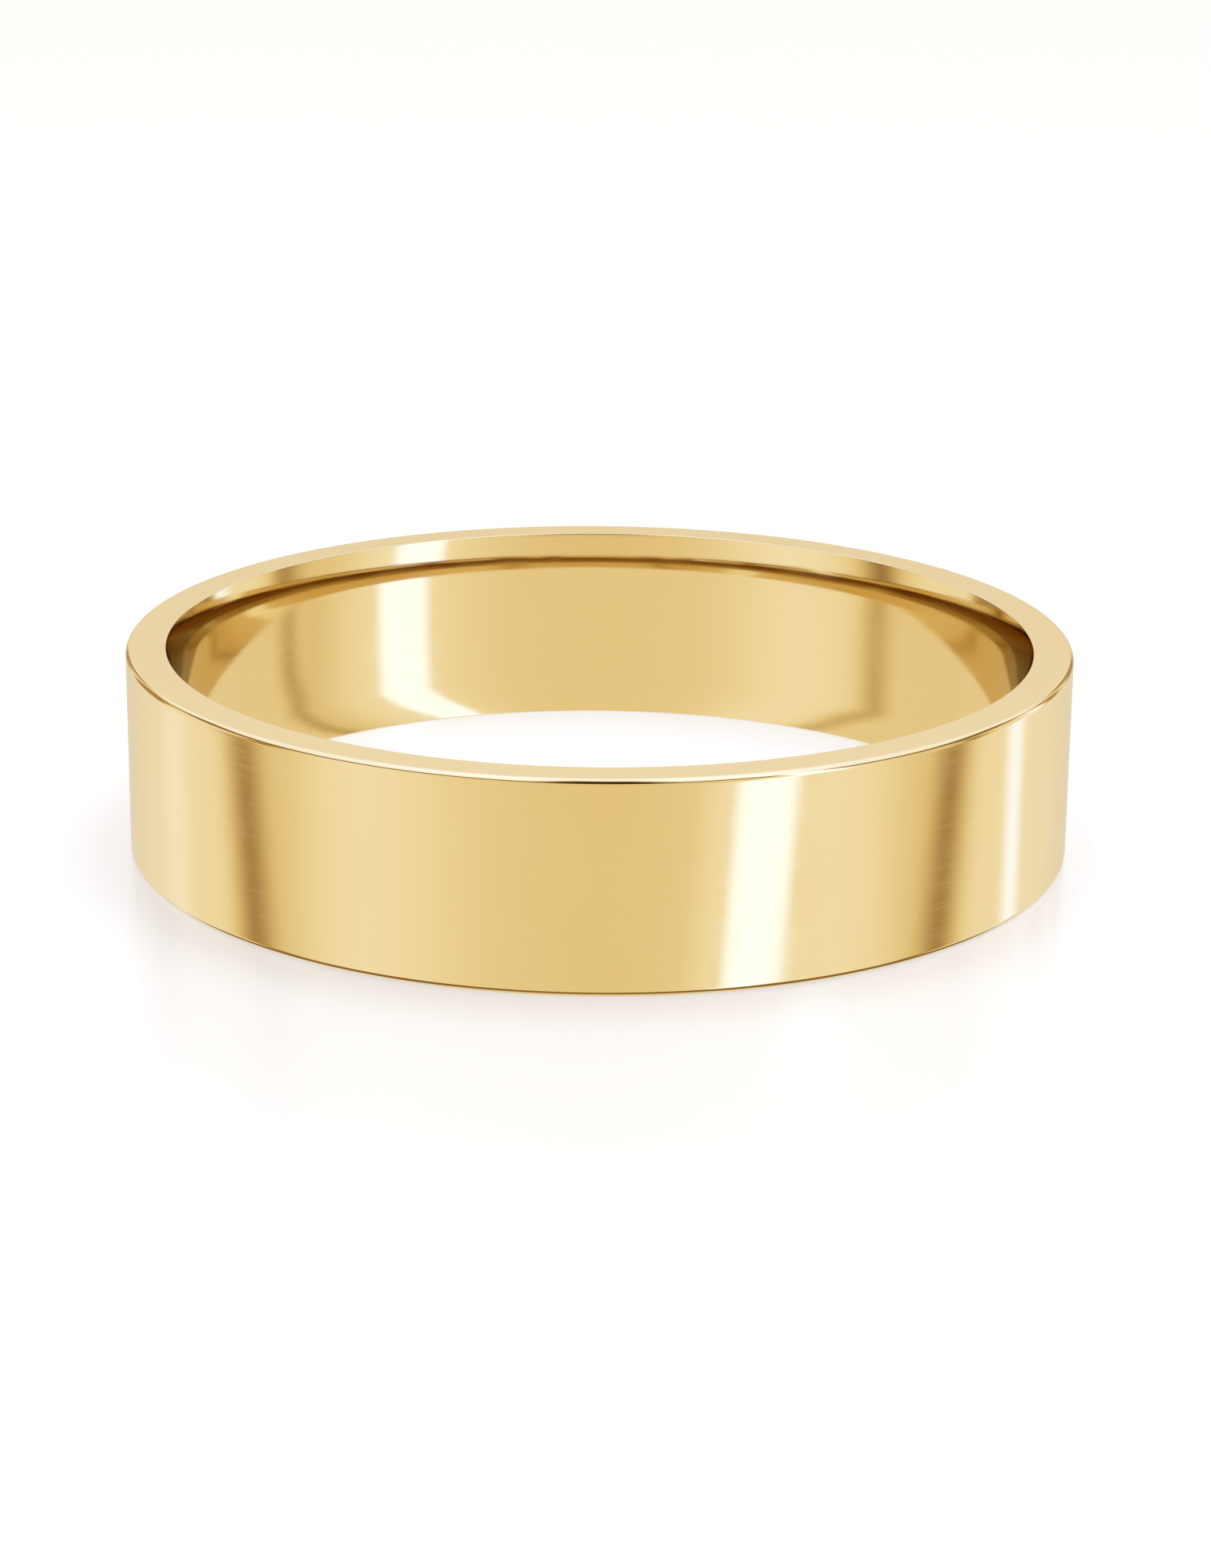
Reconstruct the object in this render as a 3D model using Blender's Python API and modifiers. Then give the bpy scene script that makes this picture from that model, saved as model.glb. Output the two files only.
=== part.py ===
"""A plain flat wedding band with a comfort-fit inside, turned from one piece of yellow gold.

The band lies on one of its two side faces. The finger hole's axis is +Z, and the origin is on
that axis, level with the resting face. Lengths are in metres.
"""

import math

import bpy

MM = 0.001

# Driving dimensions.
FINGER_DIAMETER = 16.6 * MM  # the narrowest inside diameter: about US ring size 6
WALL_THICKNESS = 0.90 * MM  # at the middle of the band's width
BAND_WIDTH = 4.0 * MM  # from side face to side face, along the finger
COMFORT_DEPTH = 0.13 * MM  # how far the inside wall falls back by the time it meets a side face
COMFORT_REACH = 0.80 * MM  # how far from a side face that rounding starts
OUTER_EDGE_RADIUS = 0.11 * MM
INNER_EDGE_RADIUS = 0.02 * MM

# Facets.
TURN_STEPS = 128  # round the band
EDGE_STEPS = 3  # round each small edge radius
COMFORT_STEPS = 5  # along each comfort rounding
SHARP_ANGLE = math.radians(25)  # edges that turn more than this are drawn crisp

GOLD_COLOUR = (0.95, 0.70, 0.31, 1.0)
GOLD_ROUGHNESS = 0.08


def clear_scene():
    for obj in list(bpy.data.objects):
        bpy.data.objects.remove(obj, do_unlink=True)


def make_gold():
    """Polished yellow gold."""
    gold = bpy.data.materials.new("polished_gold")
    gold.use_nodes = True
    shader = gold.node_tree.nodes["Principled BSDF"]
    shader.inputs["Base Color"].default_value = GOLD_COLOUR
    shader.inputs["Metallic"].default_value = 1.0
    shader.inputs["Roughness"].default_value = GOLD_ROUGHNESS
    return gold


def arc(centre, radius, start, end, steps):
    """Points (r, z) along a circular arc, both ends included; angles run from +r towards +z."""
    points = []
    for step in range(steps + 1):
        angle = start + (end - start) * step / steps
        points.append((centre[0] + radius * math.cos(angle), centre[1] + radius * math.sin(angle)))
    return points


def upper_half_outline():
    """The upper half of the wall's section, from the outside wall over the side face to the inside wall.

    The comfort rounding is one large arc, tangent to the straight inside wall. The small inner
    edge radius touches both that arc and the side face.
    """
    inside = FINGER_DIAMETER / 2
    outside = inside + WALL_THICKNESS
    upright = math.radians(90)
    inward = math.radians(180)

    outer_edge_centre = (outside - OUTER_EDGE_RADIUS, BAND_WIDTH - OUTER_EDGE_RADIUS)
    outer_edge = arc(outer_edge_centre, OUTER_EDGE_RADIUS, 0.0, upright, EDGE_STEPS)

    comfort_radius = (COMFORT_REACH**2 + COMFORT_DEPTH**2) / (2 * COMFORT_DEPTH)
    comfort_centre = (inside + comfort_radius, BAND_WIDTH - COMFORT_REACH)

    centre_gap = comfort_radius - INNER_EDGE_RADIUS
    rise = COMFORT_REACH - INNER_EDGE_RADIUS
    run = math.sqrt(centre_gap**2 - rise**2)
    inner_edge_centre = (comfort_centre[0] - run, comfort_centre[1] + rise)
    touch_angle = inward - math.atan2(rise, run)
    inner_edge = arc(inner_edge_centre, INNER_EDGE_RADIUS, upright, touch_angle, EDGE_STEPS)
    comfort = arc(comfort_centre, comfort_radius, touch_angle, inward, COMFORT_STEPS)

    return outer_edge + inner_edge + comfort[1:]


def band_outline():
    """The wall's whole section as a closed loop that runs down the outside and up the inside."""
    upper = upper_half_outline()
    lower = [(r, BAND_WIDTH - z) for r, z in upper]
    return upper[::-1] + lower


def turn(name, outline, steps, collection, material):
    """Turn a closed outline about Z into a solid ring."""
    profile = bpy.data.meshes.new(name + "_profile")
    count = len(outline)
    points = [(r, 0.0, z) for r, z in outline]
    edges = [(index, (index + 1) % count) for index in range(count)]
    profile.from_pydata(points, edges, [])
    ring = bpy.data.objects.new(name, profile)
    collection.objects.link(ring)

    screw = ring.modifiers.new("Turn", "SCREW")
    screw.axis = "Z"
    screw.angle = math.radians(360)
    screw.steps = steps
    screw.render_steps = steps
    screw.merge_threshold = 1e-6

    depsgraph = bpy.context.evaluated_depsgraph_get()
    solid = bpy.data.meshes.new_from_object(ring.evaluated_get(depsgraph))
    solid.name = name
    solid.materials.append(material)
    solid.shade_smooth()
    solid.set_sharp_from_angle(angle=SHARP_ANGLE)
    ring.modifiers.clear()
    ring.data = solid
    bpy.data.meshes.remove(profile)
    return ring


def main():
    clear_scene()
    collection = bpy.data.collections.new("wedding_band")
    bpy.context.scene.collection.children.link(collection)
    turn("band", band_outline(), TURN_STEPS, collection, make_gold())


main()
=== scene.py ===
"""A polished yellow gold wedding band on a pale floor, with painted surroundings to reflect.

The band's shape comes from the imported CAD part. This script swaps the faceted solid for a finely
turned one of the same section, gives it its gold finish, and lights it. Lengths are in metres.

The band reflects a dome and a small well under its finger hole. Both are staging with a painted
pattern of bright and dark cloth, which only reflections see. Lamps and a plain world light the floor.

Directions round the band are given as an azimuth, measured from the camera's side (-Y) towards
+X, and an elevation above the floor, both in degrees.
"""

import math

import bpy
import numpy as np
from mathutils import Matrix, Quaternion, Vector


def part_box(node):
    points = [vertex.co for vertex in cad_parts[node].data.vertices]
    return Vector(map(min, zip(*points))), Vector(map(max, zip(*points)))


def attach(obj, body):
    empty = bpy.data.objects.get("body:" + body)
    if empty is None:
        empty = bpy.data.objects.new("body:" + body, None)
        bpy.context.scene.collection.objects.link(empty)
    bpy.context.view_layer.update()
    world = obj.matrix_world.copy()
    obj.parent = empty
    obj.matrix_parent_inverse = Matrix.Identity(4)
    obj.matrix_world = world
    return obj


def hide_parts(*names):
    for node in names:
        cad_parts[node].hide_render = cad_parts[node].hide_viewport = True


MM = 0.001

# The band's section. Its diameter and width come from the CAD box.
WALL_THICKNESS = 0.90 * MM
COMFORT_DEPTH = 0.13 * MM
COMFORT_REACH = 0.80 * MM
OUTER_EDGE_RADIUS = 0.11 * MM
INNER_EDGE_RADIUS = 0.02 * MM

# How finely the band is turned.
TURN_STEPS = 720
EDGE_STEPS = 10
COMFORT_STEPS = 14

# The polish: noise scales are per metre, and roughness runs between the two finishes.
CLOUD_SCALE = 700.0
HAIRLINE_SCALE = 22000.0
ALONG_SCALE = 300.0
HAIRLINE_DEPTH = 0.00015 * MM
SMOOTHEST_POLISH = 0.04
ROUGHEST_POLISH = 0.14

# The camera looks down at the band from this far, through this point above its middle.
CAMERA_DISTANCE = 74.6 * MM
CAMERA_ELEVATION = 16.97
CAMERA_AIM = (0.135 * MM, 0.0, 1.0 * MM)
CAMERA_ROLL = 0.52
CAMERA_LENS = 87.0

# The studio.
TENT_RADIUS = 600 * MM
WELL_RADIUS = 8.9 * MM
WELL_DEPTH = 40 * MM
FLOOR_RADIUS = 1000 * MM
DEEP_REFLECTION = 4.0  # ray depth at which reflections of the cloth are as dim as they get
DEEP_SHADE = (0.20, 0.22, 0.24, 1.0)


def smooth_step(low, high, values):
    share = np.clip((values - low) / (high - low), 0.0, 1.0)
    return share * share * (3.0 - 2.0 * share)


def window(values, low, high, softness):
    """1 between low and high, falling smoothly to 0 across a margin of that softness."""
    rise = smooth_step(low - softness, low + softness, values)
    fall = smooth_step(high - softness, high + softness, values)
    return rise * (1.0 - fall)


# ---------------------------------------------------------------------------
# The band
# ---------------------------------------------------------------------------


def arc(centre, radius, start, end, steps):
    """Points (r, z) with their outward normals along a circular arc, both ends included."""
    points = []
    for step in range(steps + 1):
        angle = math.radians(start + (end - start) * step / steps)
        normal = (math.cos(angle), math.sin(angle))
        points.append(((centre[0] + radius * normal[0], centre[1] + radius * normal[1]), normal))
    return points


def upper_half_section(outside, width):
    """Points and normals from the outside wall over the side face to the straight inside wall."""
    inside = outside - WALL_THICKNESS
    outer_centre = (outside - OUTER_EDGE_RADIUS, width - OUTER_EDGE_RADIUS)
    outer_edge = arc(outer_centre, OUTER_EDGE_RADIUS, 0.0, 90.0, EDGE_STEPS)

    comfort_radius = (COMFORT_REACH**2 + COMFORT_DEPTH**2) / (2 * COMFORT_DEPTH)
    comfort_centre = (inside + comfort_radius, width - COMFORT_REACH)
    rise = COMFORT_REACH - INNER_EDGE_RADIUS
    run = math.sqrt((comfort_radius - INNER_EDGE_RADIUS) ** 2 - rise**2)
    touch_angle = 180.0 - math.degrees(math.atan2(rise, run))
    inner_centre = (comfort_centre[0] - run, comfort_centre[1] + rise)
    inner_edge = arc(inner_centre, INNER_EDGE_RADIUS, 90.0, touch_angle, EDGE_STEPS)
    comfort = arc(comfort_centre, comfort_radius, touch_angle, 180.0, COMFORT_STEPS)
    return outer_edge + inner_edge + comfort[1:]


def full_section(outside, width):
    upper = upper_half_section(outside, width)
    lower = [((r, width - z), (nr, -nz)) for (r, z), (nr, nz) in upper]
    return upper[::-1] + lower


def build_band(outside, width):
    """The whole band as one closed mesh whose shading normals are the true ones of its section."""
    section = full_section(outside, width)
    count = len(section)
    profile = np.array([point for point, normal in section])
    normals = np.array([normal for point, normal in section])
    turn = np.arange(TURN_STEPS) * (2.0 * math.pi / TURN_STEPS)
    heading = np.stack([np.cos(turn), np.sin(turn)], axis=1)

    points = np.empty((TURN_STEPS, count, 3))
    points[..., :2] = heading[:, None, :] * profile[None, :, :1]
    points[..., 2] = profile[None, :, 1]
    facing = np.empty((TURN_STEPS, count, 3))
    facing[..., :2] = heading[:, None, :] * normals[None, :, :1]
    facing[..., 2] = normals[None, :, 1]

    index = np.arange(TURN_STEPS * count).reshape(TURN_STEPS, count)
    after = np.roll(index, -1, axis=0)
    faces = np.stack(
        [index, np.roll(index, -1, axis=1), np.roll(after, -1, axis=1), after], axis=2
    ).reshape(-1, 4)

    mesh = bpy.data.meshes.new("polished_band")
    mesh.from_pydata(points.reshape(-1, 3).tolist(), [], faces.tolist())
    mesh.shade_smooth()
    mesh.normals_split_custom_set_from_vertices(facing.reshape(-1, 3).tolist())
    band = bpy.data.objects.new("polished_band", mesh)
    bpy.context.scene.collection.objects.link(band)
    return band


def new_material(name):
    material = bpy.data.materials.new(name)
    material.use_nodes = True
    material.node_tree.nodes.clear()
    return material


def make_gold():
    """Yellow gold with a bright polish: faint turning hairlines and a slightly uneven gloss."""
    gold = new_material("polished_gold_finish")
    nodes = gold.node_tree.nodes
    links = gold.node_tree.links
    output = nodes.new("ShaderNodeOutputMaterial")
    shader = nodes.new("ShaderNodeBsdfPrincipled")
    shader.inputs["Metallic"].default_value = 1.0
    links.new(shader.outputs["BSDF"], output.inputs["Surface"])

    place = nodes.new("ShaderNodeTexCoord")
    cloudy = nodes.new("ShaderNodeTexNoise")
    cloudy.inputs["Scale"].default_value = CLOUD_SCALE
    cloudy.inputs["Detail"].default_value = 4.0
    links.new(place.outputs["Object"], cloudy.inputs["Vector"])
    hairlines = add_hairlines(nodes, links, place.outputs["Object"])

    colour = nodes.new("ShaderNodeMix")
    colour.data_type = "RGBA"
    colour.inputs["A"].default_value = (0.945, 0.69, 0.30, 1.0)
    colour.inputs["B"].default_value = (0.955, 0.71, 0.32, 1.0)
    links.new(cloudy.outputs["Fac"], colour.inputs["Factor"])
    links.new(colour.outputs["Result"], shader.inputs["Base Color"])

    # Scuffed hairlines are duller than the polish between them, and the polish is uneven too.
    wear = nodes.new("ShaderNodeMath")
    wear.operation = "MULTIPLY"
    links.new(cloudy.outputs["Fac"], wear.inputs[0])
    links.new(hairlines, wear.inputs[1])
    gloss = nodes.new("ShaderNodeMapRange")
    gloss.inputs["From Min"].default_value = 0.10
    gloss.inputs["From Max"].default_value = 0.45
    gloss.inputs["To Min"].default_value = SMOOTHEST_POLISH
    gloss.inputs["To Max"].default_value = ROUGHEST_POLISH
    links.new(wear.outputs["Value"], gloss.inputs["Value"])
    links.new(gloss.outputs["Result"], shader.inputs["Roughness"])

    relief = nodes.new("ShaderNodeBump")
    relief.inputs["Strength"].default_value = 0.5
    relief.inputs["Distance"].default_value = HAIRLINE_DEPTH
    links.new(hairlines, relief.inputs["Height"])
    links.new(relief.outputs["Normal"], shader.inputs["Normal"])
    return gold


def add_hairlines(nodes, links, position):
    """Fine noise drawn out along the turning direction: it changes fast across r and z only."""
    parts = nodes.new("ShaderNodeSeparateXYZ")
    links.new(position, parts.inputs["Vector"])
    flat = nodes.new("ShaderNodeCombineXYZ")
    links.new(parts.outputs["X"], flat.inputs["X"])
    links.new(parts.outputs["Y"], flat.inputs["Y"])
    radius = nodes.new("ShaderNodeVectorMath")
    radius.operation = "LENGTH"
    links.new(flat.outputs["Vector"], radius.inputs[0])

    stretched = nodes.new("ShaderNodeCombineXYZ")
    scaled(nodes, links, radius.outputs["Value"], HAIRLINE_SCALE, stretched.inputs["X"])
    scaled(nodes, links, parts.outputs["Z"], HAIRLINE_SCALE, stretched.inputs["Y"])
    scaled(nodes, links, parts.outputs["X"], ALONG_SCALE, stretched.inputs["Z"])

    noise = nodes.new("ShaderNodeTexNoise")
    noise.noise_dimensions = "4D"
    noise.inputs["Scale"].default_value = 1.0
    noise.inputs["Detail"].default_value = 3.0
    links.new(stretched.outputs["Vector"], noise.inputs["Vector"])
    scaled(nodes, links, parts.outputs["Y"], ALONG_SCALE, noise.inputs["W"])
    return noise.outputs["Fac"]


def scaled(nodes, links, source, factor, target):
    product = nodes.new("ShaderNodeMath")
    product.operation = "MULTIPLY"
    product.inputs[1].default_value = factor
    links.new(source, product.inputs[0])
    links.new(product.outputs["Value"], target)


# ---------------------------------------------------------------------------
# The studio
# ---------------------------------------------------------------------------


def paint(glow, share, level):
    """Hang a panel of that brightness in front of the cloth where share is 1."""
    return glow * (1.0 - share) + level * share


def bump(values, centre, reach):
    return np.exp(-(((values - centre) / reach) ** 2))


def tent_brightness(azimuth, elevation):
    """How bright the tent is in each direction; 1 is about the white of the floor."""
    side = np.abs(azimuth)
    raised = smooth_step(-14.0, 4.0, elevation)

    # The front half is dimmest straight ahead, and the back half straight behind.
    front = 0.78 - 0.05 * raised + (0.22 + 0.08 * raised) * bump(side, 57.0, 27.0)
    behind = 0.73 + 0.09 * smooth_step(-10.0, 10.0, elevation)
    behind = behind + 0.10 * smooth_step(13.5, 18.5, elevation)
    back = paint(np.full_like(side, 0.95), smooth_step(125.0, 165.0, side), behind)
    glow = paint(front, smooth_step(88.0, 104.0, side), back)

    # Dark flags stand at both sides.
    drift = 1.25 * np.clip(elevation + 17.0, -6.0, 4.5)
    glow = glow - 0.53 * bump(azimuth, 92.2 + drift, 5.8)
    glow = glow - 0.09 * bump(side, 79.0, 10.0)
    low = 1.0 - raised
    glow = glow - 0.53 * bump(azimuth, -92.6 - drift * low + 8.0 * raised, 5.8)

    # A tall softbox at the front right with a soft left edge, a narrow strip light behind it, and a
    # faint strip on the other side.
    key_middle = 40.6 + 1.0 * np.clip(elevation + 17.0, -6.0, 3.0)
    key_middle = key_middle + 9.0 * smooth_step(-14.0, 0.0, elevation)
    beyond = azimuth - key_middle
    glow = glow + 0.12 * bump(beyond, -11.0, 5.0) * low
    key = smooth_step(-9.2, -4.0, beyond) * (1.0 - smooth_step(2.5, 8.5, beyond))
    key = key * window(elevation, -40.0, 62.0, 6.0)
    glow = paint(glow, key, 3.2)
    strip_middle = 117.5 + 8.0 * smooth_step(-12.0, 4.0, elevation)
    strip = bump(azimuth, strip_middle, 3.2) * window(elevation, -30.0, 26.0, 4.0)
    glow = glow + 0.8 * strip + 0.10 * bump(azimuth, -121.0, 6.5) * low

    # Dark cloth stands behind both flags, with a narrow lit gap in each.
    flank = window(azimuth, 129.0, 158.0, 3.0) + window(-azimuth, 122.0, 158.0, 3.0)
    flank = flank * window(elevation, -6.0, 24.0, 5.0)
    gaps = bump(azimuth, 142.0, 4.0) + bump(azimuth, -145.0, 4.0)
    glow = paint(glow, flank * (1.0 - gaps), 0.30)

    # A dark seam runs round the front of the tent. Bright cloth closes it overhead, except for a
    # dark slot above the camera.
    seam = window(elevation, 24.0, 38.0, 3.0) * (1.0 - smooth_step(125.0, 140.0, side))
    fill = smooth_step(20.0, 34.0, elevation) * (1.0 - key)
    glow = paint(glow, fill, 1.25 + 0.95 * smooth_step(50.0, 75.0, elevation))
    glow = paint(glow, seam * (1.0 - key), 0.14)
    slot = window(azimuth, -16.0, 20.0, 6.0) * window(elevation, 25.0, 76.0, 5.0)
    glow = paint(glow, slot, 0.04)

    # The top of the tent is plain cloth. Below the floor's edge the tent is dark: painted shade
    # standing in for the shaded floor under the band's lower edges, which their reflections show as a
    # dark contact line.
    # The tent's foot is dimly lit.
    glow = paint(glow, smooth_step(79.0, 84.0, elevation), 1.05)
    glow = paint(glow, 1.0 - smooth_step(-40.0, -31.0, elevation), 0.16)
    return paint(glow, 1.0 - smooth_step(-78.0, -66.0, elevation), 0.62)


def well_brightness(azimuth, height):
    """The same for the well under the finger hole, which the inside wall reflects for a floor."""
    depth = -height / MM
    side = np.abs(azimuth)
    glow = 0.80 + 0.19 * bump(side, 85.0, 32.0)
    key = window(azimuth + 0.6 * np.clip(depth - 2.5, 0.0, 12.0), 74.5, 93.0, 4.0)
    glow = paint(glow, key, 3.0)
    left_flag = bump(azimuth, 142.0 - 6.0 * smooth_step(1.5, 3.0, depth), 5.0)
    right_flag = bump(azimuth, -122.0 + 8.0 * smooth_step(3.0, 8.0, depth), 7.5)
    shaded = bump(azimuth, 127.0, 11.0)
    return glow - 0.33 * (left_flag + right_flag) - 0.10 * shaded


def cloth_colour(brightness):
    """The tent's colour at each brightness: dim cloth is warmer than bright cloth."""
    level = [0.0, 0.1, 0.29, 0.60, 0.71, 0.80, 0.90, 1.01, 1.15, 1.3, 1.8, 3.2]
    red = [0.0, 0.18, 0.40, 0.67, 0.76, 0.82, 0.88, 0.93, 0.965, 1.0, 1.04, 1.2]
    green = [0.0, 0.10, 0.29, 0.60, 0.71, 0.80, 0.90, 1.01, 1.14, 1.21, 1.36, 1.6]
    blue = [0.0, 0.03, 0.17, 0.42, 0.56, 0.71, 0.92, 1.20, 1.68, 1.95, 2.5, 2.9]
    channels = [np.interp(brightness, level, channel) for channel in (red, green, blue)]
    return np.stack(channels, axis=-1)


def make_cloth(name):
    """A surface that glows with the colour stored in its mesh.

    It glows less, and browner, after several bounces. This is painted shade that darkens the band's
    repeated reflections deep inside its hole; it is a look and not physical.
    """
    cloth = new_material(name)
    nodes = cloth.node_tree.nodes
    links = cloth.node_tree.links
    output = nodes.new("ShaderNodeOutputMaterial")
    emission = nodes.new("ShaderNodeEmission")
    colour = nodes.new("ShaderNodeVertexColor")
    colour.layer_name = "glow"
    links.new(emission.outputs["Emission"], output.inputs["Surface"])
    path = nodes.new("ShaderNodeLightPath")
    depth = nodes.new("ShaderNodeMapRange")
    depth.interpolation_type = "SMOOTHSTEP"
    depth.inputs["From Min"].default_value = 1.0
    depth.inputs["From Max"].default_value = DEEP_REFLECTION
    links.new(path.outputs["Ray Depth"], depth.inputs["Value"])
    shade = nodes.new("ShaderNodeMix")
    shade.data_type = "RGBA"
    shade.blend_type = "MULTIPLY"
    shade.inputs["B"].default_value = DEEP_SHADE
    links.new(depth.outputs["Result"], shade.inputs["Factor"])
    links.new(colour.outputs["Color"], shade.inputs["A"])
    links.new(shade.outputs["Result"], emission.inputs["Color"])
    cloth.cycles.emission_sampling = "NONE"
    return cloth


def hang_cloth(name, points, colours):
    """A grid of glowing cloth, closed across its last column, that only reflections see."""
    rows, columns = points.shape[:2]
    index = np.arange(rows * columns).reshape(rows, columns)
    beside = np.roll(index, -1, axis=1)
    faces = np.stack([index[:-1], beside[:-1], beside[1:], index[1:]], axis=2).reshape(-1, 4)
    mesh = bpy.data.meshes.new(name)
    mesh.from_pydata(points.reshape(-1, 3).tolist(), [], faces.tolist())
    glow = mesh.color_attributes.new("glow", "FLOAT_COLOR", "POINT")
    rgba = np.ones((rows * columns, 4), np.float32)
    rgba[:, :3] = colours.reshape(-1, 3)
    glow.data.foreach_set("color", rgba.ravel())
    mesh.materials.append(make_cloth(name))
    cloth = bpy.data.objects.new(name, mesh)
    bpy.context.scene.collection.objects.link(cloth)
    cloth.visible_camera = False
    cloth.visible_diffuse = False
    cloth.visible_shadow = False
    return cloth


def heading_of(azimuth):
    turn = np.radians(azimuth)
    return np.sin(turn), -np.cos(turn)


def build_tent(centre):
    elevation = np.linspace(-89.9, 89.9, 361)
    azimuth = np.linspace(-180.0, 180.0, 720, endpoint=False)
    elevation, azimuth = np.meshgrid(elevation, azimuth, indexing="ij")
    x, y = heading_of(azimuth)
    lift = np.radians(elevation)
    points = np.stack([x * np.cos(lift), y * np.cos(lift), np.sin(lift)], axis=-1)
    colours = cloth_colour(tent_brightness(azimuth, elevation))
    return hang_cloth("light_tent", points * TENT_RADIUS + np.array(centre), colours)


def build_well():
    height = np.linspace(-WELL_DEPTH, -0.01 * MM, 81)
    azimuth = np.linspace(-180.0, 180.0, 720, endpoint=False)
    height, azimuth = np.meshgrid(height, azimuth, indexing="ij")
    x, y = heading_of(azimuth)
    points = np.stack([x * WELL_RADIUS, y * WELL_RADIUS, height], axis=-1)
    colours = cloth_colour(well_brightness(azimuth, height))
    return hang_cloth("light_well", points, colours)


def build_floor():
    """A wide mid grey floor with some gloss, which the lamps light up to near white."""
    steps = 96
    ring = [
        (
            FLOOR_RADIUS * math.cos(2 * math.pi * step / steps),
            FLOOR_RADIUS * math.sin(2 * math.pi * step / steps),
            0.0,
        )
        for step in range(steps)
    ]
    mesh = bpy.data.meshes.new("studio_floor")
    mesh.from_pydata(ring, [], [list(range(steps))])
    white = new_material("studio_floor")
    nodes = white.node_tree.nodes
    links = white.node_tree.links
    output = nodes.new("ShaderNodeOutputMaterial")
    shader = nodes.new("ShaderNodeBsdfPrincipled")
    shader.inputs["Base Color"].default_value = (0.36, 0.36, 0.36, 1.0)
    shader.inputs["Roughness"].default_value = 0.22
    shader.inputs["Specular IOR Level"].default_value = 0.4
    links.new(shader.outputs["BSDF"], output.inputs["Surface"])
    mesh.materials.append(white)
    floor = bpy.data.objects.new("studio_floor", mesh)
    bpy.context.scene.collection.objects.link(floor)
    floor.visible_glossy = False
    return floor


def light_world():
    world = bpy.data.worlds.new("white_studio")
    bpy.context.scene.world = world
    world.use_nodes = True
    background = world.node_tree.nodes["Background"]
    background.inputs["Color"].default_value = (0.97, 1.0, 1.06, 1.0)
    background.inputs["Strength"].default_value = 1.05


def add_lamp(name, kind, energy, colour):
    """A lamp for the floor alone: the band reflects only the tent and the well."""
    data = bpy.data.lights.new(name, kind)
    data.energy = energy
    data.color = colour
    lamp = bpy.data.objects.new(name, data)
    lamp.visible_glossy = False
    lamp.visible_camera = False
    bpy.context.scene.collection.objects.link(lamp)
    return lamp


def light_floor(middle):
    """An even wash without shadows, a very soft light from the back right, and one over the hole."""
    wash = add_lamp("wash", "SUN", 5.3, (1.03, 0.97, 0.92))
    wash.data.use_shadow = False

    overhead = add_lamp("overhead", "SUN", 1.7, (1.0, 0.98, 0.95))
    overhead.data.angle = math.radians(90.0)
    overhead.rotation_euler = (math.radians(-32.0), math.radians(32.0), 0.0)

    hole_light = add_lamp("over_the_hole", "AREA", 0.0009, (0.85, 0.97, 1.2))
    hole_light.data.shape = "DISK"
    hole_light.data.size = 16 * MM
    hole_light.data.spread = math.radians(70.0)
    hole_light.location = middle + Vector((0.0, 0.0, 12 * MM))


def place_camera(middle):
    lens = bpy.data.cameras.new("camera")
    lens.lens = CAMERA_LENS
    lens.sensor_width = 36.0
    lens.sensor_fit = "AUTO"
    lens.clip_start = 0.001
    lens.clip_end = 10.0
    camera = bpy.data.objects.new("camera", lens)
    bpy.context.scene.collection.objects.link(camera)
    lift = math.radians(CAMERA_ELEVATION)
    back = Vector((0.0, -math.cos(lift), math.sin(lift)))
    camera.location = middle + back * CAMERA_DISTANCE
    look = (Vector(CAMERA_AIM) - camera.location).to_track_quat("-Z", "Y")
    roll = Quaternion((0.0, 0.0, 1.0), math.radians(CAMERA_ROLL))
    camera.rotation_mode = "QUATERNION"
    camera.rotation_quaternion = look @ roll
    bpy.context.scene.camera = camera


def main():
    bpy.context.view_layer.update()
    low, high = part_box("band")
    outside = (high.x - low.x) / 2
    width = high.z - low.z

    band = build_band(outside, width)
    band.data.materials.append(make_gold())
    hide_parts("band")
    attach(band, "root")

    middle = (low + high) / 2
    build_tent(middle)
    build_well()
    build_floor()
    light_world()
    light_floor(middle)
    place_camera(middle)
    bpy.context.scene.view_settings.view_transform = "Standard"
    bpy.context.scene.cycles.glossy_bounces = 8


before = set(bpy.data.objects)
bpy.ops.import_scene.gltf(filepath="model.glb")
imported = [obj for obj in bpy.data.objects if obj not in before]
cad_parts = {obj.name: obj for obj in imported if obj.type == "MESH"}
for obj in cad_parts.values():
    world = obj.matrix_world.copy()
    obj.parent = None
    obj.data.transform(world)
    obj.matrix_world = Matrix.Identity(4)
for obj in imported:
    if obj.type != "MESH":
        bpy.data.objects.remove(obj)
main()
